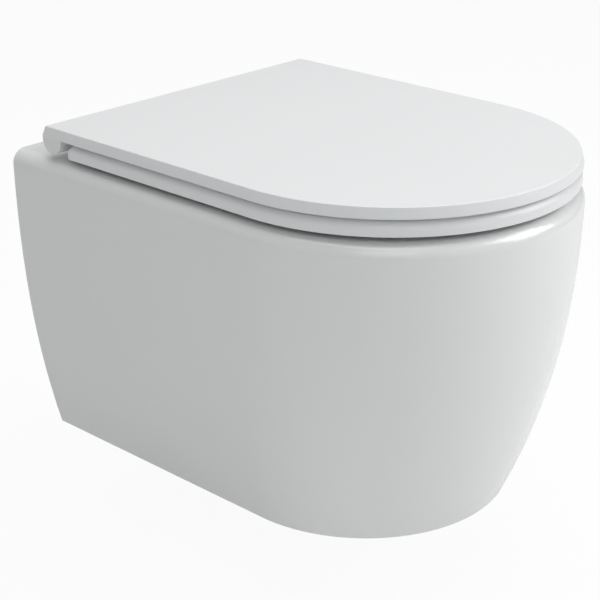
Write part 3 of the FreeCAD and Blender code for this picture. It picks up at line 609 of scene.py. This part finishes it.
@dataclass
class SubAssembly:
    """Pieces that ride on one body."""

    body: Body

    def show(self, piece: bpy.types.Object, finish: Finish, node: str) -> None:
        """Dress a finished piece and hand it to the frame.

        Args:
            piece: The object, with its place in its mesh.
            finish: Its finish.
            node: The CAD node that it stands for.
        """
        piece.data.materials.clear()
        piece.data.materials.append(finish.material())
        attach(piece, self.body.value)
        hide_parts(node)
        log.info("%s: %d faces on %s", piece.name, len(piece.data.polygons), self.body.value)

    def skin(self, node: str, finish: Finish, angle: float = 32.0) -> None:
        """Dress a copy of a CAD node with its doubles merged and its soft edges smooth.

        Args:
            node: The CAD node's name.
            finish: Its finish.
            angle: The steepest edge, in degrees, that is shaded smooth.
        """
        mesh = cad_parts[node].data.copy()
        if mesh.has_custom_normals:
            mesh.attributes.remove(mesh.attributes["custom_normal"])
        work = bmesh.new()
        work.from_mesh(mesh)
        bmesh.ops.remove_doubles(work, verts=work.verts, dist=MERGE)
        for edge in work.edges:
            edge.smooth = len(edge.link_faces) == 2 and edge.calc_face_angle(0.0) < math.radians(angle)
        for face in work.faces:
            face.smooth = True
        work.to_mesh(mesh)
        work.free()
        piece = new_piece(f"{node}_skin", mesh)
        weigh = piece.modifiers.new("even_normals", "WEIGHTED_NORMAL")
        weigh.keep_sharp = True
        weigh.weight = LARGE_FACES_FIRST
        bake_modifiers(piece)
        self.show(piece, finish, node)

    def forms(self, node: str, finish: Finish, sheet: FormTree, **sizes: float) -> None:
        """Set a tree's upright form in place of each solid of a CAD node.

        Args:
            node: The CAD node's name.
            finish: Its finish.
            sheet: The tree.
            **sizes: The tree's inputs by name, with "_" for a space.
        """
        boxes = solids(node)
        spots = []
        for low, high in boxes:
            middle = (low + high) / 2
            spots.append((middle.x, middle.y, low.z))
        low, high = boxes[0]
        values = {"Radius": (high.x - low.x) / 2, "Height": high.z - low.z, "Material": finish.material()}
        values.update({word.replace("_", " "): size for word, size in sizes.items()})
        mesh = bpy.data.meshes.new(node)
        mesh.from_pydata(spots, [], [])
        piece = new_piece(f"{node}_form", mesh)
        modifier = piece.modifiers.new("form", "NODES")
        modifier.node_group = sheet.tree
        for word, size in values.items():
            if word in sheet.keys:
                modifier[sheet.keys[word]] = size
        bake_modifiers(piece)
        self.show(piece, finish, node)


@dataclass
class Pan(SubAssembly):
    """The glazed pan with its flush pieces."""

    def build(self) -> None:
        """Dress the ceramic, the flush spreader, its ring and the cuff."""
        self.skin("ceramic_pan", GLAZE)
        self.skin("flush_diverter", WHITE_PLASTIC)
        self.skin("diverter_oring", RUBBER)
        self.skin("inlet_seal", RUBBER)


@dataclass
class WallFixings(SubAssembly):
    """The hidden fixings between the pan and the wall's studs."""

    def build(self) -> None:
        """Dress sleeves, inserts, clamp screws and the caps under the pan."""
        self.skin("fixing_sleeves", STEEL)
        self.skin("clamp_inserts", GREY_PLASTIC)
        self.skin("clamp_screws", STEEL)
        self.skin("access_caps", WHITE_PLASTIC)


@dataclass
class Hinges(SubAssembly):
    """The steel hinge arms, what holds them to the pan, and their pins.

    Attributes:
        disc: Tree of the caps.
        ring: Tree of gaskets and washers.
        bolt: Tree of the bolts.
        bolt_hole: Radius of the hole in gaskets and washers, in metres as all sizes here.
        head_height: Height of the head, and depth of its socket.
        bolt_length: Length below the head.
        bolt_radius: Radius over the thread, and of the socket's corners.
        pitch: Rise of the thread in a turn.
        thread_depth: Depth of the thread.
    """

    disc: FormTree
    ring: FormTree
    bolt: FormTree
    bolt_hole: float = 0.0034
    head_height: float = 0.005
    bolt_length: float = 0.042
    bolt_radius: float = 0.003
    pitch: float = 0.001
    thread_depth: float = 0.0006

    def build(self) -> None:
        """Dress the arms and pins, and set bolts, caps, gaskets and washers."""
        for node in ("hinge_body_left", "hinge_body_right", "hinge_nuts", "hinge_pins"):
            self.skin(node, STEEL)
        self.skin("expansion_plugs", RUBBER)
        self.forms("bolt_caps", WHITE_PLASTIC, self.disc, Squareness=0.18)
        self.forms("hinge_gaskets", PALE_RUBBER, self.ring, Bore=self.bolt_hole, Squareness=0.2)
        self.forms("hinge_washers", GREY_PLASTIC, self.ring, Bore=self.bolt_hole, Squareness=0.2)
        self.forms("hinge_bolts", STEEL, self.bolt, Height=self.head_height, Squareness=0.2,
                   Thread_Radius=self.bolt_radius, Thread_Length=self.bolt_length + self.thread_depth,
                   Pitch=self.pitch, Thread_Depth=self.thread_depth, Socket_Radius=self.bolt_radius,
                   Socket_Depth=self.head_height, Socket_Level=self.head_height,
                   Head_Level=self.bolt_length)


@dataclass
class Seat(SubAssembly):
    """The seat ring with its bushes, damper and buffers."""

    disc: FormTree

    def build(self) -> None:
        """Dress the ring and its fittings and set the buffers."""
        self.skin("seat_ring", DUROPLAST)
        self.skin("seat_bushes", GREY_PLASTIC)
        self.skin("seat_damper", GREY_PLASTIC)
        self.forms("seat_buffers", PALE_RUBBER, self.disc, Squareness=0.15)


@dataclass
class Lid(SubAssembly):
    """The lid with its bushes, damper and buffers."""

    disc: FormTree

    def build(self) -> None:
        """Dress the lid and its fittings and set the buffers."""
        self.skin("lid", DUROPLAST)
        self.skin("lid_bushes", GREY_PLASTIC)
        self.skin("lid_damper", GREY_PLASTIC)
        self.forms("lid_buffers", PALE_RUBBER, self.disc, Squareness=0.25)


# ---------------------------------------------------------------- studio
@dataclass(frozen=True)
class Lamp:
    """A square soft lamp.

    Attributes:
        name: Its name.
        place: Where it stands.
        aim: What it points at.
        size: Its side in metres.
        power: Its power in watts.
    """

    name: str
    place: Triple
    aim: Triple
    size: float
    power: float


LAMPS = (
    Lamp("key", place=(1.6, -2.0, 1.5), aim=(0.0, -0.3, 0.0), size=1.6, power=36.0),
    Lamp("top", place=(0.0, -0.3, 2.6), aim=(0.0, -0.3, 0.0), size=2.4, power=42.0),
    Lamp("fill", place=(-1.7, -1.9, 1.9), aim=(0.0, -0.25, 0.0), size=1.6, power=10.0),
)


@dataclass
class Studio:
    """Pale floor, soft lamps and the camera.

    Attributes:
        lamps: The lamps.
        floor_level: Height of the floor in metres.
        floor_reach: Half the floor's side in metres.
        floor_tone: The floor's main colour.
        floor_shade: The floor's second colour, blended in by a noise.
        floor_grain: Waves in a metre of that noise.
        glow_share: Share of plain white in what the camera sees of the floor.
        lens: Focal length in millimetres.
        sensor: Width of the picture plane in millimetres.
        azimuth: Turn of the camera about the vertical, in degrees.
        elevation: Rise of the camera's place over its aim, in degrees.
        eye: The camera's place in metres.
        world_grey: Strength of the white surroundings as a light.
    """

    lamps: tuple[Lamp, ...] = LAMPS
    floor_level: float = -0.32
    floor_reach: float = 12.0
    floor_tone: Colour = (0.86, 0.86, 0.86, 1.0)
    floor_shade: Colour = (0.85, 0.85, 0.85, 1.0)
    floor_grain: float = 3.0
    glow_share: float = 0.93
    lens: float = 95.14
    sensor: float = 36.0
    azimuth: float = -47.127
    elevation: float = 22.709
    eye: Triple = (-1.07518, -1.20803, 0.53952)
    world_grey: float = 0.30

    def build(self) -> None:
        """Set up world, floor, lamps, camera and view."""
        self.world()
        self.floor()
        for lamp in self.lamps:
            self.hang(lamp)
        self.camera()
        bpy.context.scene.view_settings.view_transform = "Standard"

    def world(self) -> None:
        """Surround the scene with white to the camera, and with soft grey to all else."""
        world = bpy.data.worlds.new("studio")
        bpy.context.scene.world = world
        world.use_nodes = True
        tree = world.node_tree
        tree.nodes.clear()
        path = tree.nodes.new("ShaderNodeLightPath")
        level = tree.nodes.new("ShaderNodeMapRange")
        level.inputs["To Min"].default_value = self.world_grey
        level.inputs["To Max"].default_value = 1.0
        shade = tree.nodes.new("ShaderNodeBackground")
        shade.inputs["Color"].default_value = WHITE
        output = tree.nodes.new("ShaderNodeOutputWorld")
        tree.links.new(path.outputs["Is Camera Ray"], level.inputs["Value"])
        tree.links.new(level.outputs["Result"], shade.inputs["Strength"])
        tree.links.new(shade.outputs[0], output.inputs["Surface"])

    def floor(self) -> None:
        """Lay a wide white floor that keeps a faint shadow."""
        mesh = bpy.data.meshes.new("floor")
        reach = self.floor_reach
        corners = [(-reach, -reach), (reach, -reach), (reach, reach), (-reach, reach)]
        mesh.from_pydata([(x, y, self.floor_level) for x, y in corners], [], [(0, 1, 2, 3)])
        plane = bpy.data.objects.new("floor", mesh)
        bpy.context.scene.collection.objects.link(plane)
        sheet = NodeSheet("floor_paint")
        path = sheet.node("ShaderNodeLightPath")
        noise = sheet.noise(self.floor_grain)
        paint = sheet.node("ShaderNodeBsdfDiffuse")
        sheet.join(sheet.blend(noise, self.floor_tone, self.floor_shade), paint.inputs["Color"])
        glow = sheet.node("ShaderNodeEmission", Color=WHITE, Strength=1.0)
        share = sheet.node("ShaderNodeMath")
        share.operation = "MULTIPLY"
        share.inputs[1].default_value = self.glow_share
        sheet.join(path.outputs["Is Camera Ray"], share.inputs[0])
        mix = sheet.node("ShaderNodeMixShader")
        sheet.join(share.outputs[0], mix.inputs[0])
        sheet.join(paint.outputs[0], mix.inputs[1])
        sheet.join(glow.outputs[0], mix.inputs[2])
        mesh.materials.append(sheet.finish(mix))

    def hang(self, lamp: Lamp) -> None:
        """Add one lamp.

        Args:
            lamp: The lamp.
        """
        light = bpy.data.lights.new(lamp.name, "AREA")
        light.size = lamp.size
        light.energy = lamp.power
        hung = bpy.data.objects.new(lamp.name, light)
        hung.location = lamp.place
        hung.rotation_euler = (Vector(lamp.aim) - Vector(lamp.place)).to_track_quat("-Z", "Y").to_euler()
        bpy.context.scene.collection.objects.link(hung)

    def camera(self) -> None:
        """Place the camera as in the photograph."""
        turn, rise = math.radians(self.azimuth), math.radians(self.elevation)
        back = Vector((math.sin(turn) * math.cos(rise), -math.cos(turn) * math.cos(rise), math.sin(rise)))
        data = bpy.data.cameras.new("camera")
        data.sensor_width = self.sensor
        data.lens = self.lens
        camera = bpy.data.objects.new("camera", data)
        camera.location = self.eye
        camera.rotation_mode = "QUATERNION"
        camera.rotation_quaternion = (-back).to_track_quat("-Z", "Y")
        bpy.context.scene.collection.objects.link(camera)
        bpy.context.scene.camera = camera


def main() -> None:
    """Build every sub-assembly in order and report it."""
    logging.basicConfig(level=logging.INFO, format="%(name)s: %(message)s")
    Studio().build()
    disc, ring, bolt = disc_tree(), ring_tree(), bolt_tree()
    Pan(Body.PAN).build()
    WallFixings(Body.PAN).build()
    Hinges(Body.PAN, disc, ring, bolt).build()
    Seat(Body.SEAT, disc).build()
    Lid(Body.LID, disc).build()


if __name__ == "__main__":
    main()
